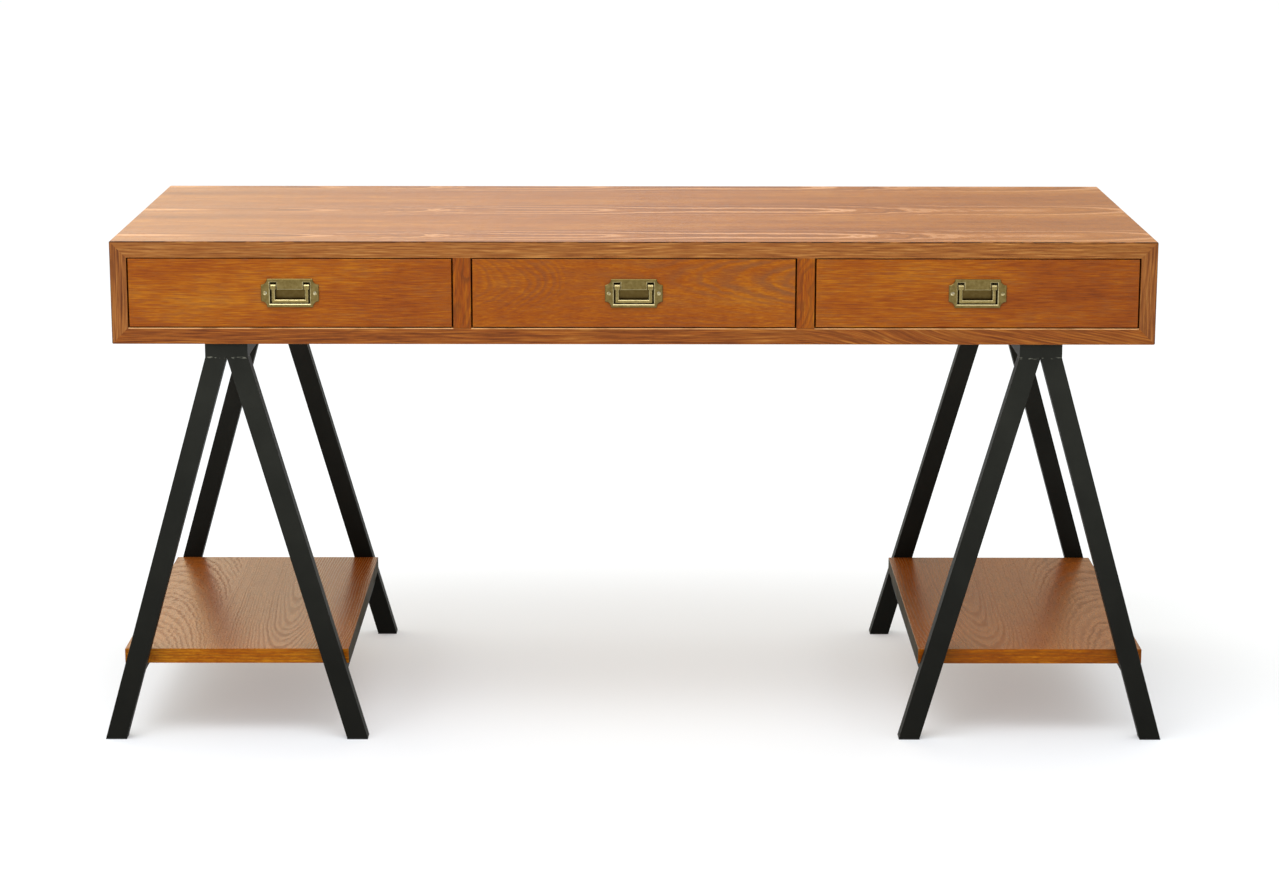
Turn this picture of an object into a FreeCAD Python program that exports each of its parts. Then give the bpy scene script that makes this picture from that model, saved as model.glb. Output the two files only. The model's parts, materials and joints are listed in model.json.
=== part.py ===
import FreeCAD, Part
import os
import math
import Sketcher

# Writing desk: a mitred veneered case with three inset drawers, carried on two
# A-shaped steel trestles, each with a wooden shelf.
# Frame: origin on the floor at the centre of the desk, +X along the length
# (to the viewer's right), +Y to the back, +Z up. Millimetres.

V = FreeCAD.Vector
doc = FreeCAD.newDocument("campaign_desk")
sheet = doc.addObject("Spreadsheet::Sheet", "Sheet")


class Dim:
    """A length that carries its number and the sheet expression it comes from."""

    def __init__(self, value, text):
        self.value = float(value)
        self.text = text

    def __add__(self, o):
        o = dim(o)
        return Dim(self.value + o.value, "(%s + %s)" % (self.text, o.text))

    def __radd__(self, o):
        return dim(o) + self

    def __sub__(self, o):
        o = dim(o)
        return Dim(self.value - o.value, "(%s - %s)" % (self.text, o.text))

    def __rsub__(self, o):
        return dim(o) - self

    def __mul__(self, o):
        o = dim(o)
        return Dim(self.value * o.value, "(%s * %s)" % (self.text, o.text))

    def __rmul__(self, o):
        return dim(o) * self

    def __truediv__(self, o):
        o = dim(o)
        return Dim(self.value / o.value, "(%s / %s)" % (self.text, o.text))

    def __neg__(self):
        return Dim(-self.value, "(0 - %s)" % self.text)


def dim(o):
    if isinstance(o, Dim):
        return o
    return Dim(o, "%.6f" % o if o >= 0 else "(0 - %.6f)" % -o)


def root(d):
    return Dim(math.sqrt(d.value), "sqrt(%s)" % d.text)


rows = [0]


def cell(alias, value):
    rows[0] += 1
    r = rows[0]
    sheet.set("A%d" % r, alias)
    sheet.set("B%d" % r, repr(value))
    sheet.setAlias("B%d" % r, alias)
    return Dim(value, "Sheet." + alias)


# ---- driving dimensions -------------------------------------------------
case_width = cell("case_width", 1524.0)
case_depth = cell("case_depth", 610.0)
desk_height = cell("desk_height", 756.0)
case_height = cell("case_height", 151.5)
board = cell("board_thickness", 24.0)
divider_thick = cell("divider_thickness", 26.0)
back_thick = cell("back_thickness", 16.0)
back_inset = cell("back_inset", 2.0)
edge_round = cell("edge_round", 2.0)
arris = cell("arris_round", 1.0)

gap_side = cell("drawer_gap_side", 2.3)
gap_top = cell("drawer_gap_top", 1.6)
gap_bottom = cell("drawer_gap_bottom", 1.7)
front_thick = cell("drawer_front_thickness", 20.0)
side_thick = cell("drawer_side_thickness", 15.0)
side_height = cell("drawer_side_height", 86.0)
side_lift = cell("drawer_side_lift", 5.5)
side_length = cell("drawer_side_length", 530.0)
dback_thick = cell("drawer_back_thickness", 12.0)
dbottom_thick = cell("drawer_bottom_thickness", 6.0)
dbottom_lift = cell("drawer_bottom_lift", 7.0)
dbottom_house = cell("drawer_bottom_housing", 6.0)

runner_height = cell("runner_height", 16.0)
runner_house = cell("runner_housing", 3.0)
runner_tongue = cell("runner_tongue", 6.4)
runner_play = cell("runner_play", 0.4)
runner_end = cell("runner_setback", 60.0)
runner_lift = cell("runner_lift", 41.0)

plate_width = cell("plate_width", 84.0)
plate_height = cell("plate_height", 42.0)
plate_proud = cell("plate_proud", 2.2)
scoop = cell("plate_scoop_radius", 8.8)
win_width = cell("window_width", 58.8)
win_height = cell("window_height", 32.0)
lip_width = cell("lip_width", 38.8)
lip_height = cell("lip_height", 10.9)
lip_thick = cell("lip_thickness", 1.6)
pan_depth = cell("pan_depth", 11.2)
pan_wall = cell("pan_wall", 2.0)
plate_bevel = cell("plate_bevel", 0.7)
window_bevel = cell("window_bevel", 1.2)
plate_screw_x = cell("plate_screw_offset", 36.4)

bail_arm_x = cell("bail_arm_offset", 24.3)
bail_bar = cell("bail_bar", 4.8)
bail_drop = cell("bail_drop", 23.6)
bail_bevel = cell("bail_bevel", 1.2)
knuckle = cell("bail_knuckle", 7.6)
knuckle_bevel = cell("knuckle_top_bevel", 2.2)
pivot_up = cell("pivot_height", 9.0)
pivot_in = cell("pivot_depth", 3.3)
pin_radius = cell("pin_radius", 1.2)
pin_play = cell("pin_play", 0.05)

trestle_x = cell("trestle_offset", 596.0)
trestle_depth = cell("trestle_depth", 604.0)
leg_width = cell("leg_width", 30.0)
leg_depth = cell("leg_depth", 25.0)
leg_slope = cell("leg_slope", 0.284)
wall = cell("tube_wall", 1.5)
rail_height = cell("rail_height", 20.0)
shelf_rail = cell("shelf_rail_size", 20.0)
shelf_top = cell("shelf_top", 134.0)
shelf_thick = cell("shelf_thickness", 22.5)
shelf_width = cell("shelf_width", 336.0)
shelf_play = cell("shelf_play", 1.0)
foot_pad = cell("foot_pad", 1.5)
plug_height = cell("plug_height", 14.0)

screw_radius = cell("screw_radius", 2.5)
screw_length = cell("screw_length", 34.0)
screw_head_radius = cell("screw_head_radius", 4.6)
screw_head_height = cell("screw_head_height", 2.6)
screw_hole = cell("screw_clearance", 0.2)
doc.recompute()

# ---- derived lengths ----------------------------------------------------
case_bottom = desk_height - case_height
bay_low = case_bottom + board
bay_high = desk_height - board
bay_height = bay_high - bay_low
front_y = -(case_depth / 2)
bay_width = (case_width - 2 * board - 2 * divider_thick) / 3
bay_pitch = bay_width + divider_thick
inner_back_y = case_depth / 2 - back_inset - back_thick

leg_cut = leg_width * root(1 + leg_slope * leg_slope)
wall_cut = wall * root(1 + leg_slope * leg_slope)
rail_low = case_bottom - rail_height
leg_rise = rail_low - foot_pad


# ---- helpers ------------------------------------------------------------
def new_body(label):
    b = doc.addObject("PartDesign::Body", label)
    b.Label = label
    return b


def place(obj, x=0, y=0, z=0):
    for axis, d in (("x", x), ("y", y), ("z", z)):
        d = dim(d)
        obj.setExpression("Placement.Base." + axis, d.text)


def plane(body, role):
    return [f for f in body.Origin.OriginFeatures if f.Role == role][0]


def new_sketch(body, name, role, lift=None):
    s = body.newObject("Sketcher::SketchObject", body.Label + "_" + name)
    s.AttachmentSupport = [(plane(body, role), "")]
    s.MapMode = "FlatFace"
    if lift is not None:
        s.setExpression("AttachmentOffset.Base.z", dim(lift).text)
    return s


def pin_point(s, geo, pos, x, y):
    # holds one sketch point at (x, y) from the sketch origin
    for kind, d, axis in (("DistanceX", dim(x), -2), ("DistanceY", dim(y), -1)):
        if abs(d.value) < 1e-9:
            s.addConstraint(Sketcher.Constraint("PointOnObject", geo, pos, axis))
        elif d.value > 0:
            i = s.addConstraint(Sketcher.Constraint(kind, -1, 1, geo, pos, d.value))
            s.setExpression("Constraints[%d]" % i, d.text)
        else:
            i = s.addConstraint(Sketcher.Constraint(kind, geo, pos, -1, 1, -d.value))
            s.setExpression("Constraints[%d]" % i, (-d).text)


def outline(s, points):
    # closed loop; each entry is (x, y) or (x, y, radius, turn): with a radius, the
    # side that starts there is an arc, turning left (+1) or right (-1)
    n = len(points)
    ends = []
    for i in range(n):
        p, q = points[i], points[(i + 1) % n]
        a = V(dim(p[0]).value, dim(p[1]).value, 0)
        b = V(dim(q[0]).value, dim(q[1]).value, 0)
        if len(p) == 2:
            g = s.addGeometry(Part.LineSegment(a, b), False)
            ends.append((g, 1, 2))
        else:
            r, turn = dim(p[2]), p[3]
            mid = (a + b) * 0.5
            chord = (b - a)
            h = math.sqrt(max(r.value ** 2 - chord.Length ** 2 / 4, 0.0))
            n_left = V(-chord.y, chord.x, 0).normalize()
            c = mid + n_left * (h * turn)
            a0 = math.atan2(a.y - c.y, a.x - c.x)
            a1 = math.atan2(b.y - c.y, b.x - c.x)
            circle = Part.Circle(c, V(0, 0, 1), r.value)
            if turn > 0:
                g = s.addGeometry(Part.ArcOfCircle(circle, a0, a1 if a1 > a0 else a1 + 2 * math.pi), False)
                ends.append((g, 1, 2))
            else:
                g = s.addGeometry(Part.ArcOfCircle(circle, a1, a0 if a0 > a1 else a0 + 2 * math.pi), False)
                ends.append((g, 2, 1))
    for i in range(n):
        g, st, en = ends[i]
        g2, st2, en2 = ends[(i + 1) % n]
        s.addConstraint(Sketcher.Constraint("Coincident", g, en, g2, st2))
    for i in range(n):
        g, st, en = ends[i]
        pin_point(s, g, st, points[i][0], points[i][1])
        if len(points[i]) > 2:
            r = dim(points[i][2])
            k = s.addConstraint(Sketcher.Constraint("Radius", g, r.value))
            s.setExpression("Constraints[%d]" % k, r.text)


def round_hole(s, x, y, r):
    x, y, r = dim(x), dim(y), dim(r)
    g = s.addGeometry(Part.Circle(V(x.value, y.value, 0), V(0, 0, 1), r.value), False)
    pin_point(s, g, 3, x, y)
    k = s.addConstraint(Sketcher.Constraint("Radius", g, r.value))
    s.setExpression("Constraints[%d]" % k, r.text)


def rect(x0, y0, x1, y1):
    return [(x0, y0), (x1, y0), (x1, y1), (x0, y1)]


def pad(body, name, s, length, both=False, back=False):
    f = body.newObject("PartDesign::Pad", body.Label + "_" + name)
    f.Profile = s
    f.SideType = "Symmetric" if both else "One side"
    f.Reversed = back
    f.setExpression("Length", dim(length).text)
    s.Visibility = False
    return f


def pocket(body, name, s, length, both=False, back=False):
    f = body.newObject("PartDesign::Pocket", body.Label + "_" + name)
    f.Profile = s
    f.SideType = "Symmetric" if both else "One side"
    f.Reversed = back
    f.setExpression("Length", dim(length).text)
    s.Visibility = False
    return f


def trench(body, name, low, high):
    # straight-sided housing cut between two corners
    f = body.newObject("PartDesign::SubtractiveBox", body.Label + "_" + name)
    for prop, axis in (("Length", 0), ("Width", 1), ("Height", 2)):
        f.setExpression(prop, (dim(high[axis]) - dim(low[axis])).text)
    for letter, axis in (("x", 0), ("y", 1), ("z", 2)):
        f.setExpression("Placement.Base." + letter, dim(low[axis]).text)
    return f


def edges_where(feature, test):
    out = []
    for i, e in enumerate(feature.Shape.Edges):
        if test(e):
            out.append("Edge%d" % (i + 1))
    return out


def soften(body, name, base, test, size, kind="Fillet"):
    doc.recompute()
    names = edges_where(base, test)
    if not names:
        raise RuntimeError("no edges for %s %s" % (body.Label, name))
    f = body.newObject("PartDesign::" + kind, body.Label + "_" + name)
    f.Base = (base, names)
    f.setExpression("Radius" if kind == "Fillet" else "Size", dim(size).text)
    return f


def near(a, b, tol=1e-4):
    return abs(a - b) < tol


def lies(e, axis, value):
    b = e.BoundBox
    lo, hi = {"x": (b.XMin, b.XMax), "y": (b.YMin, b.YMax), "z": (b.ZMin, b.ZMax)}[axis]
    return near(lo, value) and near(hi, value)


parts = []


def block(label, size, at):
    # rectangular board: rectangle drawn on the ground plane and raised
    b = new_body(label)
    s = new_sketch(b, "outline", "XY_Plane")
    outline(s, rect(0, 0, size[0], size[1]))
    f = pad(b, "board", s, size[2])
    place(b, *at)
    parts.append(b)
    return b, f


# ---- case ---------------------------------------------------------------
half = case_width / 2
tip = edge_round * (1 - math.sqrt(0.5))


def mitred(label, length, inner_up, at, role):
    # board with both ends mitred at 45 degrees; the inner face lies on the local
    # axis, and the outer corners share the rounded edge of the case
    b = new_body(label)
    s = new_sketch(b, "section", role)
    hl = length / 2
    if role == "XZ_Plane":
        up = 1 if inner_up else -1
        pts = [
            (-(hl - board), 0), (hl - board, 0),
            (hl - tip, up * (board - tip), edge_round, up),
            (hl - edge_round, up * board), (-(hl - edge_round), up * board, edge_round, up),
            (-(hl - tip), up * (board - tip)),
        ]
        outline(s, pts)
    f = pad(b, "board", s, case_depth, both=True)
    place(b, *at)
    parts.append(b)
    return b, f


top, top_pad = mitred("top_panel", case_width, True, (0, 0, bay_high), "XZ_Plane")
bottom, bottom_pad = mitred("bottom_panel", case_width, False, (0, 0, bay_low), "XZ_Plane")


def side_panel(label, hand):
    # end board of the case, standing, mitred at its upper and lower ends
    b = new_body(label)
    s = new_sketch(b, "section", "XZ_Plane")
    hl = case_height / 2
    outline(s, [
        (0, -(hl - board)), (hand * (board - tip), -(hl - tip), edge_round, hand),
        (hand * board, -(hl - edge_round)), (hand * board, hl - edge_round, edge_round, hand),
        (hand * (board - tip), hl - tip), (0, hl - board),
    ])
    f = pad(b, "board", s, case_depth, both=True)
    place(b, hand * (half - board), 0, case_bottom + case_height / 2)
    parts.append(b)
    return b, f


left_panel, left_pad = side_panel("left_side_panel", -1)
right_panel, right_pad = side_panel("right_side_panel", 1)


def long_edges(e):
    # outer front and back edges of a case board, rounded tips included
    b = e.BoundBox
    flat = near(b.YMin, b.YMax) and near(abs(b.YMin), case_depth.value / 2)
    return flat


def outer_x(e):
    b = e.BoundBox
    return long_edges(e) and b.XLength > 1000 and near(abs(b.ZMin), board.value) and near(b.ZMin, b.ZMax)


def outer_z(e):
    b = e.BoundBox
    return long_edges(e) and b.ZLength > 100 and near(abs(b.XMin), board.value) and near(b.XMin, b.XMax)


top_round = soften(top, "arris", top_pad, outer_x, edge_round * 0.75)
bottom_round = soften(bottom, "arris", bottom_pad, outer_x, edge_round * 0.75)
left_round = soften(left_panel, "arris", left_pad, outer_z, edge_round * 0.75)
right_round = soften(right_panel, "arris", right_pad, outer_z, edge_round * 0.75)

# back board between the top, bottom and end boards, set in a little
block("back_panel", (case_width - 2 * board, back_thick, bay_height),
      (-(half - board), inner_back_y, bay_low))

divider_depth = inner_back_y - front_y
left_div, left_div_pad = block("left_divider", (divider_thick, divider_depth, bay_height),
                               (-(bay_width / 2) - divider_thick, front_y, bay_low))
right_div, right_div_pad = block("right_divider", (divider_thick, divider_depth, bay_height),
                                 (bay_width / 2, front_y, bay_low))

# runners: strips housed in the dividers and end boards, standing out into the bays
runner_low = bay_low + runner_lift
runner_y0 = front_y + front_thick + runner_end
runner_length = inner_back_y - runner_y0
runner_width = runner_house + gap_side + runner_tongue


def housing_in_divider(body, hand):
    x0, x1 = (0, runner_house) if hand < 0 else (divider_thick - runner_house, divider_thick)
    y0 = runner_y0 - front_y
    trench(body, "housing_left" if hand < 0 else "housing_right",
           (x0, y0, runner_lift), (x1, y0 + runner_length, runner_lift + runner_height))


for b in (left_div, right_div):
    housing_in_divider(b, -1)
    housing_in_divider(b, 1)


def housing_in_end(body, hand):
    z0 = runner_low - (case_bottom + case_height / 2)
    x0, x1 = (dim(0), runner_house) if hand > 0 else (-runner_house, dim(0))
    trench(body, "housing", (x0, runner_y0, z0), (x1, runner_y0 + runner_length, z0 + runner_height))


housing_in_end(left_panel, -1)
housing_in_end(right_panel, 1)

bays = (("left", -bay_pitch), ("middle", dim(0)), ("right", bay_pitch))
for name, cx in bays:
    block(name + "_drawer_left_runner", (runner_width, runner_length, runner_height),
          (cx - bay_width / 2 - runner_house, runner_y0, runner_low))
    block(name + "_drawer_right_runner", (runner_width, runner_length, runner_height),
          (cx + bay_width / 2 + runner_house - runner_width, runner_y0, runner_low))

# screws through the top rails bite into the bottom board
rail_mid = leg_cut / 2
screw_y = trestle_depth / 2 - leg_depth - 90
s = new_sketch(bottom, "screw_pilots", "XY_Plane", -board)
for tx in (-1, 1):
    for rx in (-1, 1):
        for sy in (-1, 1):
            round_hole(s, tx * trestle_x + rx * rail_mid, sy * screw_y, screw_radius + screw_hole)
doc.recompute()
before = bottom.Shape.Volume
pocket(bottom, "pilot_holes", s, screw_length - rail_height + 1, back=True)
doc.recompute()
if not bottom.Shape.Volume < before - 1000:
    raise RuntimeError("pilot holes did not cut the bottom board")

# ---- drawers ------------------------------------------------------------
front_width = bay_width - 2 * gap_side
front_height = bay_height - gap_top - gap_bottom
front_low = bay_low + gap_bottom
plate_z = front_low + front_height / 2
pan_width = win_width + 2 * pan_wall
pan_height = win_height + 2 * pan_wall
pan_back = pan_depth - plate_proud + pan_wall
side_low = bay_low + side_lift
side_y = front_y + front_thick
bottom_low = side_low + dbottom_lift
groove_depth = runner_tongue + runner_play + 0.2
plate_face = front_y - plate_proud

for name, cx in bays:
    # front board: recess for the handle's pan, holes for its screws, groove for the bottom
    fb, fp = block(name + "_drawer_front", (front_width, front_thick, front_height),
                   (cx - front_width / 2, front_y, front_low))
    fr = soften(fb, "arris", fp, lambda e: lies(e, "y", 0), arris)
    mid_x, mid_z = front_width / 2, front_height / 2
    trench(fb, "pan_recess", (mid_x - pan_width / 2 - 0.4, 0, mid_z - pan_height / 2 - 0.4),
           (mid_x + pan_width / 2 + 0.4, pan_back + 0.4, mid_z + pan_height / 2 + 0.4))
    s = new_sketch(fb, "screw_holes", "XZ_Plane")
    for hand in (-1, 1):
        round_hole(s, mid_x + hand * plate_screw_x, mid_z, 1.65)
    doc.recompute()
    before = fb.Shape.Volume
    pocket(fb, "screw_pilots", s, 13.0)
    doc.recompute()
    if not near(before - fb.Shape.Volume, 2 * math.pi * 1.65 ** 2 * 13.0, 2.0):
        raise RuntimeError("handle screw holes did not cut the front")
    gz = bottom_low - front_low
    trench(fb, "bottom_groove", (side_thick, front_thick - dbottom_house, gz),
           (front_width - side_thick, front_thick, gz + dbottom_thick))

    # sides: groove that rides on the runner, open at the back, and groove for the bottom
    for hand, word in ((-1, "left"), (1, "right")):
        x = cx - front_width / 2 if hand < 0 else cx + front_width / 2 - side_thick
        sb, sp = block("%s_drawer_%s_side" % (name, word), (side_thick, side_length, side_height),
                       (x, side_y, side_low))
        rz = runner_low - side_low - runner_play
        ry = runner_end - 1
        x0, x1 = (dim(0), groove_depth) if hand < 0 else (side_thick - groove_depth, side_thick)
        trench(sb, "runner_groove", (x0, ry, rz), (x1, side_length, rz + runner_height + 2 * runner_play))
        x0, x1 = (side_thick - dbottom_house, side_thick) if hand < 0 else (dim(0), dbottom_house)
        trench(sb, "bottom_groove", (x0, 0, dbottom_lift), (x1, side_length, dbottom_lift + dbottom_thick))

    # back between the sides, standing on the bottom, and the bottom in its grooves
    inner = front_width - 2 * side_thick
    block(name + "_drawer_back", (inner, dback_thick, side_height - dbottom_lift - dbottom_thick - 8),
          (cx - inner / 2, side_y + side_length - dback_thick, bottom_low + dbottom_thick))
    block(name + "_drawer_bottom",
          (inner + 2 * dbottom_house, side_length + dbottom_house, dbottom_thick),
          (cx - inner / 2 - dbottom_house, side_y - dbottom_house, bottom_low))
    # the bottom's front corners clear the sides, which start behind the front
    bb = parts[-1]
    trench(bb, "corner_left", (0, 0, 0), (dbottom_house, dbottom_house, dbottom_thick))
    trench(bb, "corner_right", (inner + dbottom_house, 0, 0),
           (inner + 2 * dbottom_house, dbottom_house, dbottom_thick))

    # ---- handle: plate and pan in one casting ----------------------------
    pb = new_body(name + "_handle_plate")
    s = new_sketch(pb, "outline", "XZ_Plane")
    hw, hh = plate_width / 2, plate_height / 2
    outline(s, [
        (-(hw - scoop), -hh), (hw - scoop, -hh, scoop, -1),
        (hw, -(hh - scoop)), (hw, hh - scoop, scoop, -1),
        (hw - scoop, hh), (-(hw - scoop), hh, scoop, -1),
        (-hw, hh - scoop), (-hw, -(hh - scoop), scoop, -1),
    ])
    plate = pad(pb, "plate", s, plate_proud, back=True)
    s = new_sketch(pb, "pan_outline", "XZ_Plane", -plate_proud)
    outline(s, rect(-(pan_width / 2), -(pan_height / 2), pan_width / 2, pan_height / 2))
    pan = pad(pb, "pan", s, pan_back, back=True)
    doc.recompute()
    box = pb.Shape.BoundBox
    if not (near(box.YMin, 0) and near(box.YMax, (plate_proud + pan_back).value)):
        raise RuntimeError("plate and pan face the wrong way: %s" % box)
    # hollow behind the lip
    before = pb.Shape.Volume
    s = new_sketch(pb, "hollow", "XZ_Plane", -lip_thick)
    outline(s, rect(-(win_width / 2), -(win_height / 2), win_width / 2, win_height / 2))
    pocket(pb, "pan_hollow", s, pan_depth - lip_thick, back=False)
    doc.recompute()
    if not near(before - pb.Shape.Volume, (win_width * win_height * (pan_depth - lip_thick)).value, 1.0):
        raise RuntimeError("pan hollow cut %.1f" % (before - pb.Shape.Volume))
    # window in the face, with the lip that covers the pin left standing
    before = pb.Shape.Volume
    s = new_sketch(pb, "window", "XZ_Plane")
    ww, wh = win_width / 2, win_height / 2
    lw, lh = lip_width / 2, win_height / 2 - lip_height
    outline(s, [(-ww, -wh), (ww, -wh), (ww, wh), (lw, wh), (lw, lh), (-lw, lh), (-lw, wh), (-ww, wh)])
    win = pocket(pb, "window_opening", s, lip_thick, back=False)
    doc.recompute()
    if not pb.Shape.Volume < before - 100:
        raise RuntimeError("window did not cut")
    # pin holes through the pan's side walls
    hole = pb.newObject("PartDesign::SubtractiveCylinder", pb.Label + "_pin_hole")
    hole.setExpression("Radius", (pin_radius + 0.02).text)
    hole.setExpression("Height", (pan_width + 2).text)
    hole.Placement = FreeCAD.Placement(V(0, 0, 0), FreeCAD.Rotation(V(0, 1, 0), 90))
    hole.setExpression("Placement.Base.x", (-(pan_width / 2) - 1).text)
    hole.setExpression("Placement.Base.y", pivot_in.text)
    hole.setExpression("Placement.Base.z", pivot_up.text)
    # countersunk screw holes in the tabs
    for hand, word in ((-1, "left"), (1, "right")):
        cone = pb.newObject("PartDesign::SubtractiveCone", pb.Label + "_countersink_" + word)
        cone.Radius1 = 3.0
        cone.Radius2 = 1.65
        cone.Height = 1.5
        cone.Placement = FreeCAD.Placement(V(0, 0, 0), FreeCAD.Rotation(V(1, 0, 0), -90))
        cone.setExpression("Placement.Base.x", (hand * plate_screw_x).text)
        cyl = pb.newObject("PartDesign::SubtractiveCylinder", pb.Label + "_screw_hole_" + word)
        cyl.Radius = 1.65
        cyl.setExpression("Height", (plate_proud + 1).text)
        cyl.Placement = FreeCAD.Placement(V(0, 0, 0), FreeCAD.Rotation(V(1, 0, 0), -90))
        cyl.setExpression("Placement.Base.x", (hand * plate_screw_x).text)
        last = cyl
    doc.recompute()

    def window_edge(e):
        b = e.BoundBox
        return (lies(e, "y", 0) and not e.Closed and b.XMin > -(ww.value + 0.01) and b.XMax < ww.value + 0.01
                and b.ZMin > -(wh.value + 0.01) and b.ZMax < wh.value + 0.01)

    wb = soften(pb, "window_bevel", last, window_edge, window_bevel, "Chamfer")

    def plate_edge(e):
        b = e.BoundBox
        out = max(abs(b.XMin), abs(b.XMax)) > ww.value + 2 or max(abs(b.ZMin), abs(b.ZMax)) > wh.value + 2
        return lies(e, "y", 0) and out and not e.Closed

    soften(pb, "plate_bevel", wb, plate_edge, plate_bevel, "Chamfer")
    place(pb, cx, plate_face, plate_z)
    parts.append(pb)

    # ---- bail: U-shaped bar hung on the pin by two square knuckles --------
    bb = new_body(name + "_handle_bail")
    s = new_sketch(bb, "loop", "XZ_Plane")
    ro, ri = bail_arm_x + bail_bar / 2, bail_arm_x - bail_bar / 2
    lo, li = -bail_drop, -bail_drop + bail_bar
    outline(s, [(-ro, lo), (ro, lo), (ro, 0), (ri, 0), (ri, li), (-ri, li), (-ri, 0), (-ro, 0)])
    bar = pad(bb, "bar", s, bail_bar, both=True)

    def long_bar_edge(e):
        b = e.BoundBox
        return (near(b.YMin, b.YMax) and near(abs(b.YMin), bail_bar.value / 2)
                and not (near(b.ZMin, 0) and near(b.ZMax, 0)))

    bev = soften(bb, "bar_bevel", bar, long_bar_edge, bail_bevel, "Chamfer")
    k = knuckle / 2
    s = new_sketch(bb, "knuckles", "XZ_Plane")
    outline(s, rect(-(bail_arm_x + k), -k, -(bail_arm_x - k), k))
    outline(s, rect(bail_arm_x - k, -k, bail_arm_x + k, k))
    kn = pad(bb, "knuckle", s, knuckle, both=True)

    def knuckle_edge(sign):
        def test(e):
            b = e.BoundBox
            along = b.XLength > knuckle.value * 0.9 and b.YLength < 0.01 and b.ZLength < 0.01
            return along and near(abs(b.YMin), knuckle.value / 2) and near(b.ZMin, sign * knuckle.value / 2)
        return test

    low = soften(bb, "knuckle_foot", kn, knuckle_edge(-1), 1.1, "Chamfer")
    soften(bb, "knuckle_crown", low, knuckle_edge(1), knuckle_bevel, "Chamfer")
    bore = bb.newObject("PartDesign::SubtractiveCylinder", bb.Label + "_bore")
    bore.setExpression("Radius", (pin_radius + pin_play).text)
    bore.setExpression("Height", (2 * (bail_arm_x + knuckle)).text)
    bore.Placement = FreeCAD.Placement(V(0, 0, 0), FreeCAD.Rotation(V(0, 1, 0), 90))
    bore.setExpression("Placement.Base.x", (-(bail_arm_x + knuckle)).text)
    place(bb, cx, plate_face + pivot_in, plate_z + pivot_up)
    parts.append(bb)

    # ---- hinge pin, held in the pan's side walls ---------------------------
    nb = new_body(name + "_handle_pin")
    s = new_sketch(nb, "section", "YZ_Plane")
    round_hole(s, 0, 0, pin_radius)
    pad(nb, "pin", s, pan_width - 0.4, both=True)
    place(nb, cx, plate_face + pivot_in, plate_z + pivot_up)
    parts.append(nb)

# ---- plate screw: oval head with a slot, drawn once and set in pairs --------
screw = new_body("plate_screw_form")
s = new_sketch(screw, "profile", "XY_Plane")
outline(s, [(0, -0.45), (1.6, -0.3), (2.85, 0.05), (1.5, 1.4), (1.5, 12.0), (0, 14.0)])
rev = screw.newObject("PartDesign::Revolution", "plate_screw_turning")
rev.Profile = s
rev.ReferenceAxis = (s, ["V_Axis"])
rev.Angle = 360.0
trench(screw, "slot", (-3.0, -0.6, -0.4), (3.0, 0.15, 0.4))
doc.recompute()

for name, cx in bays:
    pair = []
    for hand, turn in ((-1, 25.0), (1, 70.0)):
        c = screw.Shape.copy()
        c.Placement = FreeCAD.Placement(
            V((cx + hand * plate_screw_x).value, plate_face.value, plate_z.value), FreeCAD.Rotation(V(0, 1, 0), turn))
        pair.append(c)
    g = doc.addObject("Part::Feature", name + "_handle_screws")
    g.Label = name + "_handle_screws"
    g.Shape = Part.makeCompound(pair)
    g.Placement = FreeCAD.Placement()
    parts.append(g)

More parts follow.
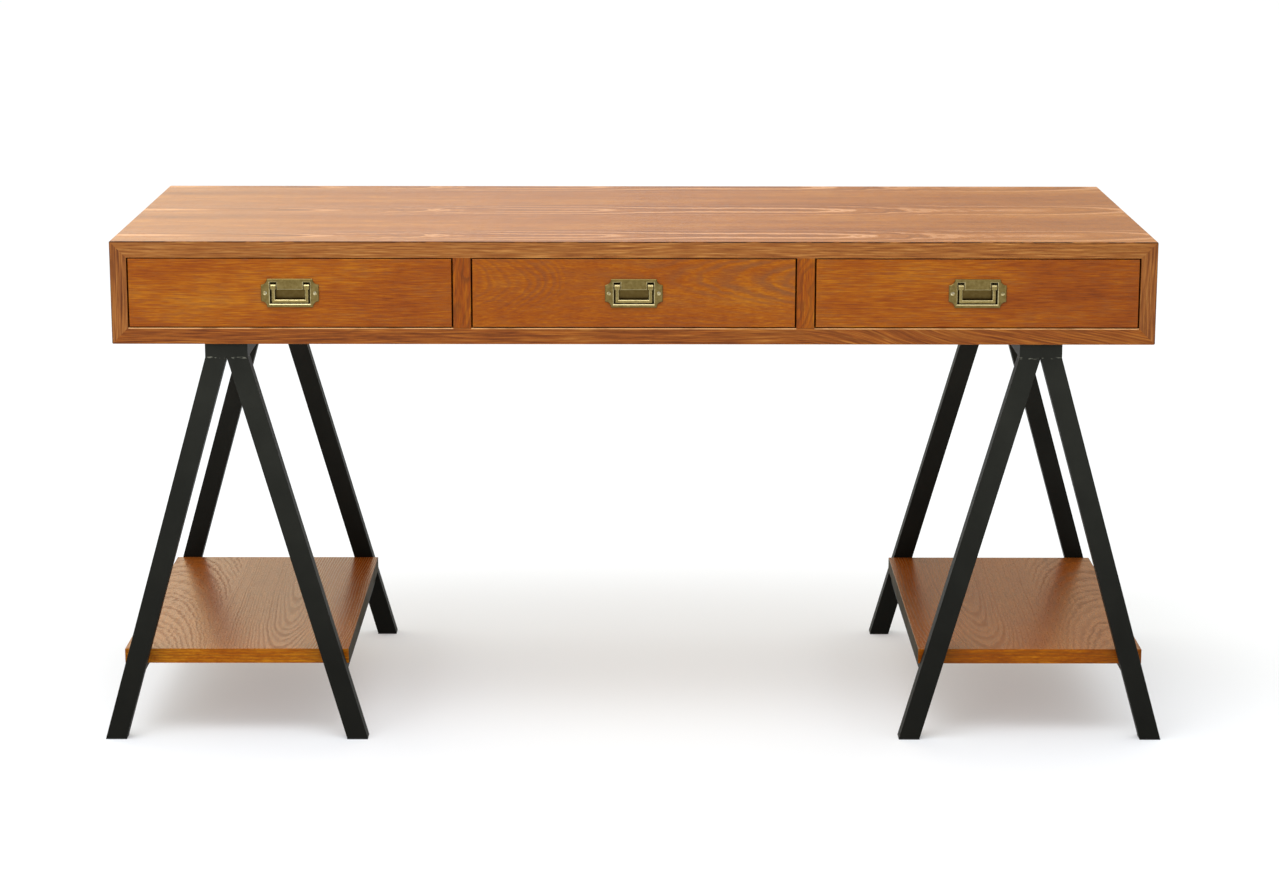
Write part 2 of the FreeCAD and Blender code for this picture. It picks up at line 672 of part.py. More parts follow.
# ---- trestles -----------------------------------------------------------
front_leg_y = -(trestle_depth / 2) + leg_depth / 2
plug_list = []
screw_at = []
for tname, hand in (("left", -1), ("right", 1)):
    tx = hand * trestle_x
    # legs: rectangular tube, leaning out from the middle of the trestle, ends cut level
    for fname, fy in (("front", front_leg_y), ("rear", -front_leg_y)):
        for lname, lean in (("outer", hand), ("inner", -hand)):
            lb = new_body("%s_trestle_%s_%s_leg" % (tname, fname, lname))
            run = leg_slope * leg_rise
            s = new_sketch(lb, "outside", "XZ_Plane")
            outline(s, [(lean * run, 0), (lean * (run + leg_cut), 0), (lean * leg_cut, leg_rise), (0, leg_rise)])
            pad(lb, "tube", s, leg_depth, both=True)
            doc.recompute()
            before = lb.Shape.Volume
            s = new_sketch(lb, "inside", "XZ_Plane")
            outline(s, [(lean * (run + wall_cut), 0), (lean * (run + leg_cut - wall_cut), 0),
                        (lean * (leg_cut - wall_cut), leg_rise), (lean * wall_cut, leg_rise)])
            pocket(lb, "bore", s, leg_depth - 2 * wall, both=True)
            doc.recompute()
            want = ((leg_cut - 2 * wall_cut) * (leg_depth - 2 * wall) * leg_rise).value
            if not near(before - lb.Shape.Volume, want, want * 1e-3):
                raise RuntimeError("tube bore cut %.0f, not %.0f" % (before - lb.Shape.Volume, want))
            place(lb, tx, fy, foot_pad)
            parts.append(lb)
            plug_list.append((tx, fy, lean))
    # top rails: two closed tubes side by side, from the front legs to the rear legs
    for lname, lean in (("outer", hand), ("inner", -hand)):
        rb, rp = block("%s_trestle_%s_top_rail" % (tname, lname), (leg_cut, trestle_depth, rail_height),
                       (tx if lean > 0 else tx - leg_cut, -(trestle_depth / 2), rail_low))
        trench(rb, "hollow", (wall, wall, wall), (leg_cut - wall, trestle_depth - wall, rail_height - wall))
        for sy, word in ((-1, "front"), (1, "rear")):
            h = rb.newObject("PartDesign::SubtractiveCylinder", rb.Label + "_screw_hole_" + word)
            h.setExpression("Radius", (screw_radius + 0.3).text)
            h.setExpression("Height", rail_height.text)
            h.setExpression("Placement.Base.x", rail_mid.text)
            h.setExpression("Placement.Base.y", (trestle_depth / 2 + sy * screw_y).text)
            screw_at.append((tx + lean * rail_mid, sy * screw_y, rail_low))
    # shelf rails: square tube between the front and rear legs, under the shelf's edges
    rail_top = shelf_top - shelf_thick
    rail_mid_z = rail_top - shelf_rail / 2
    leg_mid_x = leg_slope * (rail_low - rail_mid_z) + leg_cut / 2
    rail_run = trestle_depth - 2 * leg_depth
    for lname, lean in (("outer", hand), ("inner", -hand)):
        rb, rp = block("%s_trestle_%s_shelf_rail" % (tname, lname), (shelf_rail, rail_run, shelf_rail),
                       (tx + lean * leg_mid_x - shelf_rail / 2, -(rail_run / 2), rail_top - shelf_rail))
        trench(rb, "hollow", (wall, 0, wall), (shelf_rail - wall, rail_run, shelf_rail - wall))
        for sy, word in ((-1, "front"), (1, "rear")):
            h = rb.newObject("PartDesign::SubtractiveCylinder", rb.Label + "_screw_hole_" + word)
            h.setExpression("Radius", (screw_radius + 0.3).text)
            h.setExpression("Height", shelf_rail.text)
            h.setExpression("Placement.Base.x", (shelf_rail / 2).text)
            h.setExpression("Placement.Base.y", (rail_run / 2 + sy * screw_y).text)
            screw_at.append((tx + lean * leg_mid_x, sy * screw_y, rail_top - shelf_rail))
    # shelf board on the two rails, between the front and rear legs
    shelf_run = rail_run - 2 * shelf_play
    sb, sp = block(tname + "_trestle_shelf", (shelf_width, shelf_run, shelf_thick),
                   (tx - shelf_width / 2, -(shelf_run / 2), rail_top))
    soften(sb, "arris", sp, lambda e: e.BoundBox.ZLength < 0.001, arris)
    for lean, word in ((-1, "left"), (1, "right")):
        for sy, word2 in ((-1, "front"), (1, "rear")):
            h = sb.newObject("PartDesign::SubtractiveCylinder", "%s_pilot_%s_%s" % (sb.Label, word, word2))
            h.setExpression("Radius", (screw_radius + screw_hole).text)
            h.setExpression("Height", (screw_length - shelf_rail + 1).text)
            h.setExpression("Placement.Base.x", (shelf_width / 2 + lean * leg_mid_x).text)
            h.setExpression("Placement.Base.y", (shelf_run / 2 + sy * screw_y).text)

# foot plug: drawn once for each lean, a pad under the leg's end and a stem inside it
plug_forms = {}
for lean, word in ((-1, "left"), (1, "right")):
    pb = new_body("foot_plug_form_" + word)
    run = leg_slope * leg_rise
    s = new_sketch(pb, "pad_outline", "XZ_Plane")
    down = leg_slope * foot_pad
    outline(s, [(lean * run, -foot_pad), (lean * (run + leg_cut), -foot_pad), (lean * (run + leg_cut), 0), (lean * run, 0)])
    pad(pb, "pad", s, leg_depth, both=True)
    s = new_sketch(pb, "stem_outline", "XZ_Plane")
    grip = wall_cut + 0.15
    back = leg_slope * plug_height
    outline(s, [(lean * (run + grip), 0), (lean * (run + leg_cut - grip), 0),
                (lean * (run + leg_cut - grip - back), plug_height), (lean * (run + grip - back), plug_height)])
    pad(pb, "stem", s, leg_depth - 2 * wall - 0.3, both=True)
    plug_forms[lean] = pb
doc.recompute()
plugs = []
for tx, fy, lean in plug_list:
    c = plug_forms[lean].Shape.copy()
    c.Placement = FreeCAD.Placement(V(dim(tx).value, dim(fy).value, foot_pad.value), FreeCAD.Rotation())
    plugs.append(c)
g = doc.addObject("Part::Feature", "foot_plugs")
g.Label = "foot_plugs"
g.Shape = Part.makeCompound(plugs)
g.Placement = FreeCAD.Placement()
parts.append(g)

# pan-head screw: drawn once, set under each rail
form = new_body("rail_screw_form")
s = new_sketch(form, "profile", "XZ_Plane")
outline(s, [(0, -screw_head_height), (screw_head_radius - 1.4, -screw_head_height),
            (screw_head_radius, -(screw_head_height - 1.4)), (screw_head_radius, 0),
            (screw_radius, 0), (screw_radius, screw_length - 3), (0, screw_length)])
rev = form.newObject("PartDesign::Revolution", "rail_screw_turning")
rev.Profile = s
rev.ReferenceAxis = (s, ["V_Axis"])
rev.Angle = 360.0
trench(form, "cross_a", (-2.4, -0.5, -3.0), (2.4, 0.5, -screw_head_height + 1.2))
trench(form, "cross_b", (-0.5, -2.4, -3.0), (0.5, 2.4, -screw_head_height + 1.2))
doc.recompute()
copies = []
for x, y, z in screw_at:
    c = form.Shape.copy()
    c.Placement = FreeCAD.Placement(V(dim(x).value, dim(y).value, dim(z).value), FreeCAD.Rotation())
    copies.append(c)
g = doc.addObject("Part::Feature", "trestle_screws")
g.Label = "trestle_screws"
g.Shape = Part.makeCompound(copies)
g.Placement = FreeCAD.Placement()
parts.append(g)

# ---- check everything, then write --------------------------------------
doc.recompute()
bad = [o.Label for o in doc.Objects if any(w in ("Invalid", "Error") for w in o.State)]
if bad:
    raise RuntimeError("failed objects: %s" % bad)
labels = [p.Label for p in parts]
if len(set(labels)) != len(labels) or len(labels) > 60:
    raise RuntimeError("node names: %d of %d distinct" % (len(set(labels)), len(labels)))
for p in parts:
    if p.Shape.isNull() or not p.Shape.isValid() or not p.Shape.Solids:
        raise RuntimeError("bad shape: " + p.Label)

os.makedirs("parts", exist_ok=True)
for p in parts:
    p.Shape.exportStep("parts/%s.step" % p.Label)
print("wrote %d parts" % len(parts))
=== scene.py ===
import json
import math

import bmesh
import bpy
from mathutils import Matrix, Vector

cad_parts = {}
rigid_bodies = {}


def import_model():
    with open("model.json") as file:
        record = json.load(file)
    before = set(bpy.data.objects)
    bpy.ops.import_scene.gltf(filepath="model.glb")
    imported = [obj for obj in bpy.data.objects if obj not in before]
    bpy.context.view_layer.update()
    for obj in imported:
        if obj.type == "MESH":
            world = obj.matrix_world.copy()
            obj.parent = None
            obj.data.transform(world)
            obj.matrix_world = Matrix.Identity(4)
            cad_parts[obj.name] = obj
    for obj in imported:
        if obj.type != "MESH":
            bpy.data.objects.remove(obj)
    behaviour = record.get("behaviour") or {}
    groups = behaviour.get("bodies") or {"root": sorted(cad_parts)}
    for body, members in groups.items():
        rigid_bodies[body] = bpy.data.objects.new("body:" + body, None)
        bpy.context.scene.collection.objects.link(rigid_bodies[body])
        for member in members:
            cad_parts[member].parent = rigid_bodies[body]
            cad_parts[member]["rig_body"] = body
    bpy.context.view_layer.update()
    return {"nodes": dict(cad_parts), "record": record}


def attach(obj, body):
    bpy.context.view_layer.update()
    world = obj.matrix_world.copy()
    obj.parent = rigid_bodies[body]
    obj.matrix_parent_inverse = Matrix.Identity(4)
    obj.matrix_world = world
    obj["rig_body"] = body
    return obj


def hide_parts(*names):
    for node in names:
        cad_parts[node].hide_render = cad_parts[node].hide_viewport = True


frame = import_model()
nodes = frame["nodes"]
scene = bpy.context.scene
body_of_node = {n: o["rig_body"] for n, o in nodes.items()}
slot_of_node = {s["node"]: s["material_slot"] for s in frame["record"]["subparts"]}


# ---------------------------------------------------------------- camera
def make_camera():
    pitch, yaw, roll = math.radians(12.3), math.radians(0.137), math.radians(-0.082)
    forward = Vector((math.sin(yaw) * math.cos(pitch), math.cos(yaw) * math.cos(pitch), -math.sin(pitch)))
    right = Vector((math.cos(yaw), -math.sin(yaw), 0.0))
    down = forward.cross(right)
    across = math.cos(roll) * right + math.sin(roll) * down
    below = -math.sin(roll) * right + math.cos(roll) * down
    data = bpy.data.cameras.new("camera")
    data.lens, data.sensor_width, data.sensor_fit = 87.04, 36.0, "HORIZONTAL"
    data.clip_start, data.clip_end = 0.1, 200.0
    cam = bpy.data.objects.new("camera", data)
    scene.collection.objects.link(cam)
    axes = Matrix((across, -below, -forward)).transposed().to_4x4()
    cam.matrix_world = Matrix.Translation((-0.0021, -4.7503, 1.4294)) @ axes
    scene.camera = cam


make_camera()


# ---------------------------------------------------------------- node nets
class Wire:
    """A number travelling through a node net, with arithmetic."""

    def __init__(self, net, sock):
        self.net, self.sock = net, sock

    def __add__(self, o): return self.net.math("ADD", self, o)
    def __radd__(self, o): return self.net.math("ADD", o, self)
    def __sub__(self, o): return self.net.math("SUBTRACT", self, o)
    def __rsub__(self, o): return self.net.math("SUBTRACT", o, self)
    def __mul__(self, o): return self.net.math("MULTIPLY", self, o)
    def __rmul__(self, o): return self.net.math("MULTIPLY", o, self)
    def __truediv__(self, o): return self.net.math("DIVIDE", self, o)
    def __neg__(self): return self.net.math("MULTIPLY", self, -1.0)


class Net:
    def __init__(self, name):
        self.mat = bpy.data.materials.new(name)
        self.mat.use_nodes = True
        self.tree = self.mat.node_tree
        self.tree.nodes.clear()
        self.out = self.tree.nodes.new("ShaderNodeOutputMaterial")
        self._coord = None

    def new(self, kind, **props):
        n = self.tree.nodes.new(kind)
        for k, v in props.items():
            setattr(n, k, v)
        return n

    def put(self, sock, value):
        if isinstance(value, Wire):
            self.tree.links.new(value.sock, sock)
        elif isinstance(value, (tuple, list)) and len(value) == 3 and sock.type == "RGBA":
            sock.default_value = (*value, 1.0)
        else:
            sock.default_value = value

    def math(self, op, a, b=None, c=None, clamp=False):
        n = self.new("ShaderNodeMath", operation=op, use_clamp=clamp)
        for i, v in enumerate((a, b, c)):
            if v is not None:
                self.put(n.inputs[i], v)
        return Wire(self, n.outputs[0])

    def coord(self, which):
        if self._coord is None:
            self._coord = self.new("ShaderNodeTexCoord")
        return Wire(self, self._coord.outputs[which])

    def split(self, v):
        n = self.new("ShaderNodeSeparateXYZ")
        self.put(n.inputs[0], v)
        return [Wire(self, o) for o in n.outputs]

    def join(self, x, y, z):
        n = self.new("ShaderNodeCombineXYZ")
        for s, v in zip(n.inputs, (x, y, z)):
            self.put(s, v)
        return Wire(self, n.outputs[0])

    def noise(self, vec, scale=1.0, detail=2.0, rough=0.5, distortion=0.0):
        n = self.new("ShaderNodeTexNoise", noise_dimensions="3D")
        self.put(n.inputs["Vector"], vec)
        n.inputs["Scale"].default_value = scale
        n.inputs["Detail"].default_value = detail
        n.inputs["Roughness"].default_value = rough
        n.inputs["Distortion"].default_value = distortion
        return Wire(self, n.outputs[0])

    def grain(self, u, w, fu, fw, seed, detail=2.0, rough=0.5):
        """Noise stretched along the grain, with fu and fw cells to the metre, about zero."""
        return self.noise(self.join(u * fu, w * fw, seed), 1.0, detail, rough) - 0.5

    def white(self, value):
        n = self.new("ShaderNodeTexWhiteNoise", noise_dimensions="1D")
        self.put(n.inputs["W"], value)
        return Wire(self, n.outputs["Value"])

    def step(self, v, lo, hi, to_lo=0.0, to_hi=1.0):
        n = self.new("ShaderNodeMapRange", interpolation_type="SMOOTHSTEP")
        self.put(n.inputs["Value"], v)
        for name, x in (("From Min", lo), ("From Max", hi), ("To Min", to_lo), ("To Max", to_hi)):
            self.put(n.inputs[name], x)
        return Wire(self, n.outputs[0])

    def ramp(self, v, stops):
        n = self.new("ShaderNodeValToRGB")
        self.put(n.inputs[0], v)
        e = n.color_ramp.elements
        while len(e) < len(stops):
            e.new(0.5)
        for el, (p, c) in zip(e, stops):
            el.position, el.color = p, (*c, 1.0)
        return Wire(self, n.outputs[0])

    def mix(self, f, a, b, blend="MIX"):
        n = self.new("ShaderNodeMix", data_type="RGBA", blend_type=blend, clamp_factor=True)
        self.put(n.inputs[0], f)
        self.put(n.inputs[6], a)
        self.put(n.inputs[7], b)
        return Wire(self, n.outputs[2])

    def blend(self, f, a, b):
        n = self.new("ShaderNodeMix", data_type="FLOAT", clamp_factor=True)
        self.put(n.inputs[0], f)
        self.put(n.inputs[2], a)
        self.put(n.inputs[3], b)
        return Wire(self, n.outputs[0])

    def shine(self, color, rough, height=None, distance=0.0004, strength=0.5, **fixed):
        n = self.new("ShaderNodeBsdfPrincipled")
        self.put(n.inputs["Base Color"], color)
        self.put(n.inputs["Roughness"], rough)
        for k, v in fixed.items():
            self.put(n.inputs[k.replace("_", " ")], v)
        if height is not None:
            b = self.new("ShaderNodeBump")
            b.inputs["Strength"].default_value = strength
            b.inputs["Distance"].default_value = distance
            self.put(b.inputs["Height"], height)
            self.tree.links.new(b.outputs[0], n.inputs["Normal"])
        self.tree.links.new(n.outputs[0], self.out.inputs[0])
        return self.mat


def lin(r, g, b):
    """An 8-bit display colour as a linear one."""
    return tuple(c / 12.92 if c <= 0.04045 else ((c + 0.055) / 1.055) ** 2.4 for c in (r / 255, g / 255, b / 255))


# ---------------------------------------------------------------- wood
def figure(k, u, w, seed, ring=0.0035, pith=0.06, axis=0.0, centre=0.0, calm=0.0, left=0.0, right=0.0, lean=0.0, wander=0.016,
           sway=0.02, sway_at=2.3, ripple=0.0006, ripple_at=(58.0, 46.0), patch=None, churn=0.0, band=(0.0, 0.12, 0.2, 0.7), fade=(0.5, 1.0, 1.0)):
    """Growth rings of a sliced log as they show on a sheet whose grain runs along u: a mask of the open-pored
    early wood of each ring, and one of the dense late wood that ends it."""
    if churn:
        u = u + k.grain(u, w, 13.0, 17.0, seed + 2.9, 1.0) * churn
    along = u - centre
    depth = pith + k.math("MAXIMUM", along - calm, 0.0) * right + k.math("MAXIMUM", -along - calm, 0.0) * left
    depth = depth + k.grain(u, w, sway_at, 0.5, seed + 1.7, 2.0) * sway
    side = w - axis - along * lean + k.grain(u, w, 2.6, 7.0, seed + 4.1, 2.0) * wander
    radius = k.math("SQRT", side * side + depth * depth)
    far = k.step(k.math("ABSOLUTE", side), fade[0], fade[1], 1.0, fade[2])
    if patch:
        ripple = k.step(k.grain(u, w, patch, 2.0, seed + 13.1, 1.0), 0.0, 0.12, ripple * 0.12, ripple)
    radius = radius + k.grain(u, w, ripple_at[0], ripple_at[1], seed + 8.3, 1.5) * ripple
    turn = radius * (1.0 / ring)
    turn = turn + k.noise(k.join(turn * 0.31, seed, 0.0), 1.0, 1.0) * 1.6
    part = k.math("FRACT", turn)
    early = k.step(part, band[0], band[1]) * k.step(part, band[2], band[3], 1.0, 0.0)
    year = k.white(k.math("FLOOR", turn) * 0.731 + seed)
    late = k.step(part, 0.66, 0.78) * k.step(part, 0.84, 1.0, 1.0, 0.0)
    weight = far * k.blend(year, 0.4, 1.0)
    return early * weight, late * weight


def glow(k, u, w, cu, cw, ru, rw):
    """1 at a point of the sheet, falling to 0 on an ellipse round it."""
    a, b = (u - cu) / ru, (w - cw) / rw
    return k.step(a * a + b * b, 0.0, 1.0, 1.0, 0.0)


def veneer(k, u, w, seed, tones, early_tone, early_mix=0.5, late_mix=0.0, fibre=0.6, streak=0.5, cloud=0.4, belt=0.0, bias=0.5, veil=0.55, lift=0.0,
           veil_tone=None, wave=0.006, mottle=0.0, fine_at=(95.0, 600.0), streak_at=(28.0, 170.0), cloud_at=(7.0, 26.0), belt_at=(0.8, 15.0),
           veil_at=(34.0, 240.0), mottle_at=(46.0, 16.0), glows=(), pores=0.34, **rings):
    """Stained open-grain veneer: colour, roughness and relief."""
    early, late = figure(k, u, w, seed, **rings)
    # the fibres wander a little as they run
    v = w + k.grain(u, w, 4.0, 9.0, seed + 83.0, 1.0) * wave
    fine = k.grain(u, v, fine_at[0], fine_at[1], seed + 11.0, 2.0, 0.6)
    mid = k.grain(u, v, streak_at[0], streak_at[1], seed + 23.0, 2.0, 0.6)
    wide = k.grain(u, w, cloud_at[0], cloud_at[1], seed + 31.0, 2.0, 0.5)
    t = fine * fibre + mid * streak + wide * cloud - early * lift + (bias + lift * 0.4)
    if mottle:
        t = t + k.grain(u, w, mottle_at[0], mottle_at[1], seed + 91.0, 2.0) * mottle
    if belt:
        t = t + k.grain(u, w, belt_at[0], belt_at[1], seed + 61.0, 1.0) * belt
    for cu, cw, ru, rw, amount in glows:
        t = t + glow(k, u, w, cu, cw, ru, rw) * amount
    color = k.ramp(t, tones)
    # stain taken up unevenly: a greyer veil in streaks of its own
    haze = k.grain(u, v, veil_at[0], veil_at[1], seed + 71.0, 2.0, 0.65) + wide * 0.5
    color = k.mix(k.step(haze, -0.06, 0.22) * veil, color, veil_tone or early_tone)
    color = k.mix(early * early_mix, color, early_tone)
    if late_mix:
        color = k.mix(late * late_mix, color, tones[0][1])
    dash = k.noise(k.join(u * 95.0, v * 1900.0, seed + 47.0), 1.0, 1.0)
    pore = k.step(dash, 0.52, 0.70) * k.blend(early, 0.3, 1.0)
    color = k.mix(pore * pores, color, tuple(c * 0.5 for c in tones[0][1]))
    rough = early * 0.10 + fine * 0.10 + pore * 0.15
    height = fine * 0.25 - early * 0.2 - pore * 0.8
    return color, rough, height


FRONT = [(0.15, lin(110, 48, 12)), (0.40, lin(145, 69, 6)), (0.55, lin(163, 85, 3)), (0.85, lin(202, 128, 20))]
FRAME = [(0.15, lin(98, 52, 26)), (0.40, lin(148, 87, 38)), (0.55, lin(165, 103, 46)), (0.85, lin(202, 142, 76))]
TOPS = [(0.15, lin(112, 58, 18)), (0.40, lin(143, 79, 20)), (0.58, lin(159, 93, 25)), (0.85, lin(188, 124, 48))]
SHELF = [(0.15, lin(120, 62, 14)), (0.40, lin(148, 84, 18)), (0.58, lin(164, 98, 22)), (0.85, lin(188, 122, 40))]
SHELF_TOP = [(0.15, lin(104, 49, 16)), (0.40, lin(132, 67, 20)), (0.58, lin(148, 81, 24)), (0.85, lin(173, 107, 38))]
REDDER = [(0.15, lin(98, 46, 16)), (0.40, lin(147, 78, 24)), (0.55, lin(164, 94, 30)), (0.85, lin(200, 132, 58))]
GREY = lin(134, 80, 40)
BROWN = lin(108, 56, 20)


def facing(k):
    """Masks that are 1 where the surface faces along X, along Y, and along no axis, in the piece's own axes."""
    nx, ny, nz = (k.math("ABSOLUTE", c) for c in k.split(k.coord("Normal")))
    is_x = k.math("GREATER_THAN", nx, k.math("MAXIMUM", ny, nz))
    is_y = k.math("GREATER_THAN", ny, k.math("MAXIMUM", nx, nz))
    arris = k.step(k.math("MAXIMUM", nx, k.math("MAXIMUM", ny, nz)), 0.82, 0.98, 1.0, 0.0)
    return is_x, is_y, arris


def wood(name, main, other, pick, rough=0.30, edges=None, gloss=0.16, dull=0.0, sheen=None, relief=0.5, tint=(1.0, 1.0, 1.0)):
    """A material of two veneers, the second where pick's mask is 1. Each is (u, w, settings) made from x, y, z."""
    k = Net(name)
    x, y, z = k.split(k.coord("Object"))
    is_x, is_y, arris = facing(k)
    mask = pick(k, is_x, is_y)
    ua, wa, sa = main(k, x, y, z)
    ca, ra, ha = veneer(k, ua, wa, **sa)
    if other is not None:
        ub, wb, sb = other(k, x, y, z)
        cb, rb, hb = veneer(k, ub, wb, **sb)
        ca, ra, ha = k.mix(mask, ca, cb), k.blend(mask, ra, rb), k.blend(mask, ha, hb)
    if edges is not None:
        for m, tone in edges(k, x, y, z, is_y, arris):
            ca = k.mix(m, ca, tone)
    if dull:
        # sawn ends are rougher
        ra = ra + k.step(k.math("ABSOLUTE", k.split(k.coord("Normal"))[0]), 0.6, 0.95) * dull
    if sheen is not None:
        # polished smoother towards the middle of the desk
        ra = ra + k.step(k.math("ABSOLUTE", x), sheen[0], sheen[1], sheen[2], 0.0)
    return k.shine(ca, ra + rough, ha, 0.0003, relief, Specular_IOR_Level=gloss, IOR=1.5, Specular_Tint=tint)


def on_y(k, is_x, is_y): return is_y


W2, TOP, LOW = 0.762, 0.756, 0.6045
FACE = -0.305
LEAF = 0.268


def top_face(k, x, y, z):
    # sheets of one log laid side by side, so the figure comes back in each
    leaf = k.math("FLOOR", (y + 0.38) / LEAF)
    across = y + 0.38 - leaf * LEAF - LEAF / 2
    # two places where the rings run in zigzags
    zigzag = k.step(k.math("ABSOLUTE", x + 0.33), 0.02, 0.13) * k.step(k.math("ABSOLUTE", x - 0.44), 0.03, 0.17)
    zigzag = k.blend(zigzag, 0.0125, 0.0028)
    return x + leaf * 0.013, across, dict(seed=3.0, tones=TOPS, early_tone=lin(210, 160, 122), early_mix=0.95, late_mix=0.6, veil_tone=lin(124, 74, 34),
                                          ring=0.0118, pith=0.050, left=-0.05, right=0.05, sway=0.040, sway_at=2.6, wander=0.026, ripple=zigzag,
                                          ripple_at=(62.0, 48.0), band=(0.0, 0.07, 0.15, 0.42), fade=(0.036, 0.075, 0.08), veil=0.25, fibre=0.6, streak=0.4,
                                          cloud=0.35, belt=0.55, mottle=0.12, fine_at=(60.0, 300.0), streak_at=(14.0, 60.0), cloud_at=(4.0, 17.0),
                                          veil_at=(16.0, 90.0))


RAIL = dict(tones=FRAME, early_tone=BROWN, early_mix=0.4, ring=0.0036, pith=0.03, axis=0.03, sway=0.05, wander=0.012, ripple=0.0012,
            fibre=1.15, streak=0.46, cloud=0.3, veil=0.4, bias=0.535, fine_at=(18.0, 430.0), streak_at=(9.0, 240.0), cloud_at=(4.0, 30.0), veil_at=(12.0, 280.0))


def rail_edge(seed, outer, bend=None, **more):
    def make(k, x, y, z):
        w = (outer - z) if outer > 0.7 else (z - outer)
        if bend:
            at, slope = bend
            w = w + k.step(x, at, at + 0.25) * (x - at) * slope + k.grain(x, z, 5.0, 20.0, seed, 1.0) * 0.02 * k.step(x, at, at + 0.25)
        return x, w, dict(RAIL, seed=seed, **more)
    return make


def stile_edge(seed, sign, **more):
    def make(k, x, y, z):
        w = W2 - x * sign
        u = (W2 + TOP - z - w * 2.0) * sign
        return u, w, dict(RAIL, seed=seed, **more)
    return make


def flat(seed, u_axis, w_axis, **s):
    def make(k, x, y, z):
        c = {"x": x, "y": y, "z": z}
        d = dict(seed=seed, tones=FRONT, early_tone=GREY)
        d.update(s)
        return c[u_axis], c[w_axis], d
    return make


def shelf_face(seed, sign):
    def make(k, x, y, z):
        # two sheets side by side: the inner one with an arch that closes at the front, the outer one with steep feathered arches
        out = x * sign
        outer = k.math("GREATER_THAN", out, 0.648)
        w = out - k.blend(outer, 0.535, 0.745)
        u = y + outer * 0.23
        # the right shelf is plainer along its middle
        mix = 0.34 if sign < 0 else k.step(k.math("ABSOLUTE", out - 0.59), 0.03, 0.11, 0.12, 0.50)
        return u, w, dict(seed=seed, tones=SHELF_TOP, early_tone=lin(84, 42, 16), early_mix=mix, ring=0.0040 if sign < 0 else 0.0050, pores=0.14, pith=k.blend(outer, 0.030, 0.09),
                          centre=-0.15, left=k.blend(outer, 0.12, -0.13), right=k.blend(outer, -0.055, 0.13), sway=0.016, wander=0.020,
                          ripple=k.blend(outer, 0.0020, 0.0060), ripple_at=(80.0, 60.0), band=(0.0, 0.15, 0.25, 0.7), veil=0.3, fibre=0.5, streak=0.35, cloud=0.35,
                          mottle=0.1)
    return make


def dark_front(k, x, y, z, is_y, arris):
    """The case's outer arris, darker where stain built up along it, in uneven lengths."""
    rub = k.noise(k.join(x * 34.0, z * 60.0, y * 60.0), 1.0, 2.0, 0.6)
    near = k.step(y, FACE + 0.0012, FACE + 0.003, 1.0, 0.0)
    line = k.math("MAXIMUM", arris * near, is_y * near * k.step(z, TOP - 0.0021, TOP - 0.0010))
    return [(line * k.step(rub, 0.34, 0.54, 0.3, 1.0), lin(44, 20, 8))]


def shaded_ends(k, x, y, z, is_y, arris):
    """A shelf's end faces, painted near black: painted shade for the shadow they stand in."""
    nx = k.math("ABSOLUTE", k.split(k.coord("Normal"))[0])
    return [(k.step(nx, 0.6, 0.95), lin(32, 25, 17))]


def sill_highlight(k, x, y, z, is_y, arris):
    """The upper arris of the bottom board under the drawers, painted pale: a painted highlight of the light the arris
    catches, and partly rubbed wear.
    """
    rub = k.noise(k.join(x * 26.0, z * 60.0, y * 60.0), 1.0, 2.0, 0.6)
    away = k.step(k.math("ABSOLUTE", k.math("ABSOLUTE", x) - 0.2503), 0.0128, 0.0136) * k.step(k.math("ABSOLUTE", x), 0.737, 0.738, 1.0, 0.0)
    band = k.step(z, 0.6268, 0.6276) * k.step(y, FACE + 0.002, FACE + 0.004, 1.0, 0.0)
    return [(band * away * k.step(rub, 0.30, 0.56, 0.35, 0.95), lin(232, 176, 118))]


materials = {}
materials["top_panel"] = wood("veneer_top", top_face, rail_edge(5.0, TOP, early_mix=0.25, streak=0.32, cloud=0.2, fibre=1.2, fine_at=(18.0, 420.0)), on_y, edges=dark_front)
materials["bottom_panel"] = wood("veneer_bottom", flat(14.0, "x", "y", tones=SHELF, early_tone=BROWN, ring=0.005),
                                 rail_edge(9.0, LOW, bend=(0.2, 0.22), bias=0.43, tones=REDDER, early_mix=0.5, streak=0.65, cloud=0.45), on_y, edges=sill_highlight)
for name, sign in (("left", -1), ("right", 1)):
    materials[name + "_side_panel"] = wood("veneer_%s_side" % name,
                                           flat(21.0 + sign, "z", "y", tones=SHELF, early_tone=BROWN, ring=0.005, sway=0.05),
                                           stile_edge(5.0 if sign > 0 else 6.3, sign, bias=0.42), on_y, edges=dark_front)
    materials[name + "_divider"] = wood("veneer_%s_divider" % name,
                                        flat(27.0 + sign, "z", "y", tones=SHELF, early_tone=BROWN),
                                        flat(33.0 + sign, "z", "x", tones=FRONT, early_tone=BROWN, early_mix=0.65, ring=0.004,
                                             lean=0.30, axis=sign * 0.25, centre=0.68, pith=0.03, sway=0.06, sway_at=7.0, ripple=0.003, fibre=0.7,
                                             streak=0.6, cloud=0.4, veil=0.3, bias=0.475 + sign * 0.025, fine_at=(40.0, 620.0), streak_at=(18.0, 190.0),
                                             cloud_at=(9.0, 40.0)), on_y)
materials["back_panel"] = wood("veneer_back", flat(41.0, "x", "z", tones=SHELF, early_tone=BROWN, ring=0.005, axis=0.69), None, on_y)
materials["left_drawer_front"] = wood("veneer_left_front",
                                      flat(51.0, "x", "z", axis=0.55, ring=0.0028, early_mix=0.2, fibre=0.7, streak=0.30, cloud=0.5, mottle=0.08, veil=0.4, fine_at=(26.0, 520.0),
                                           glows=[(-0.57, 0.688, 0.26, 0.06, 0.09), (-0.27, 0.66, 0.2, 0.1, -0.04)]), None, on_y)


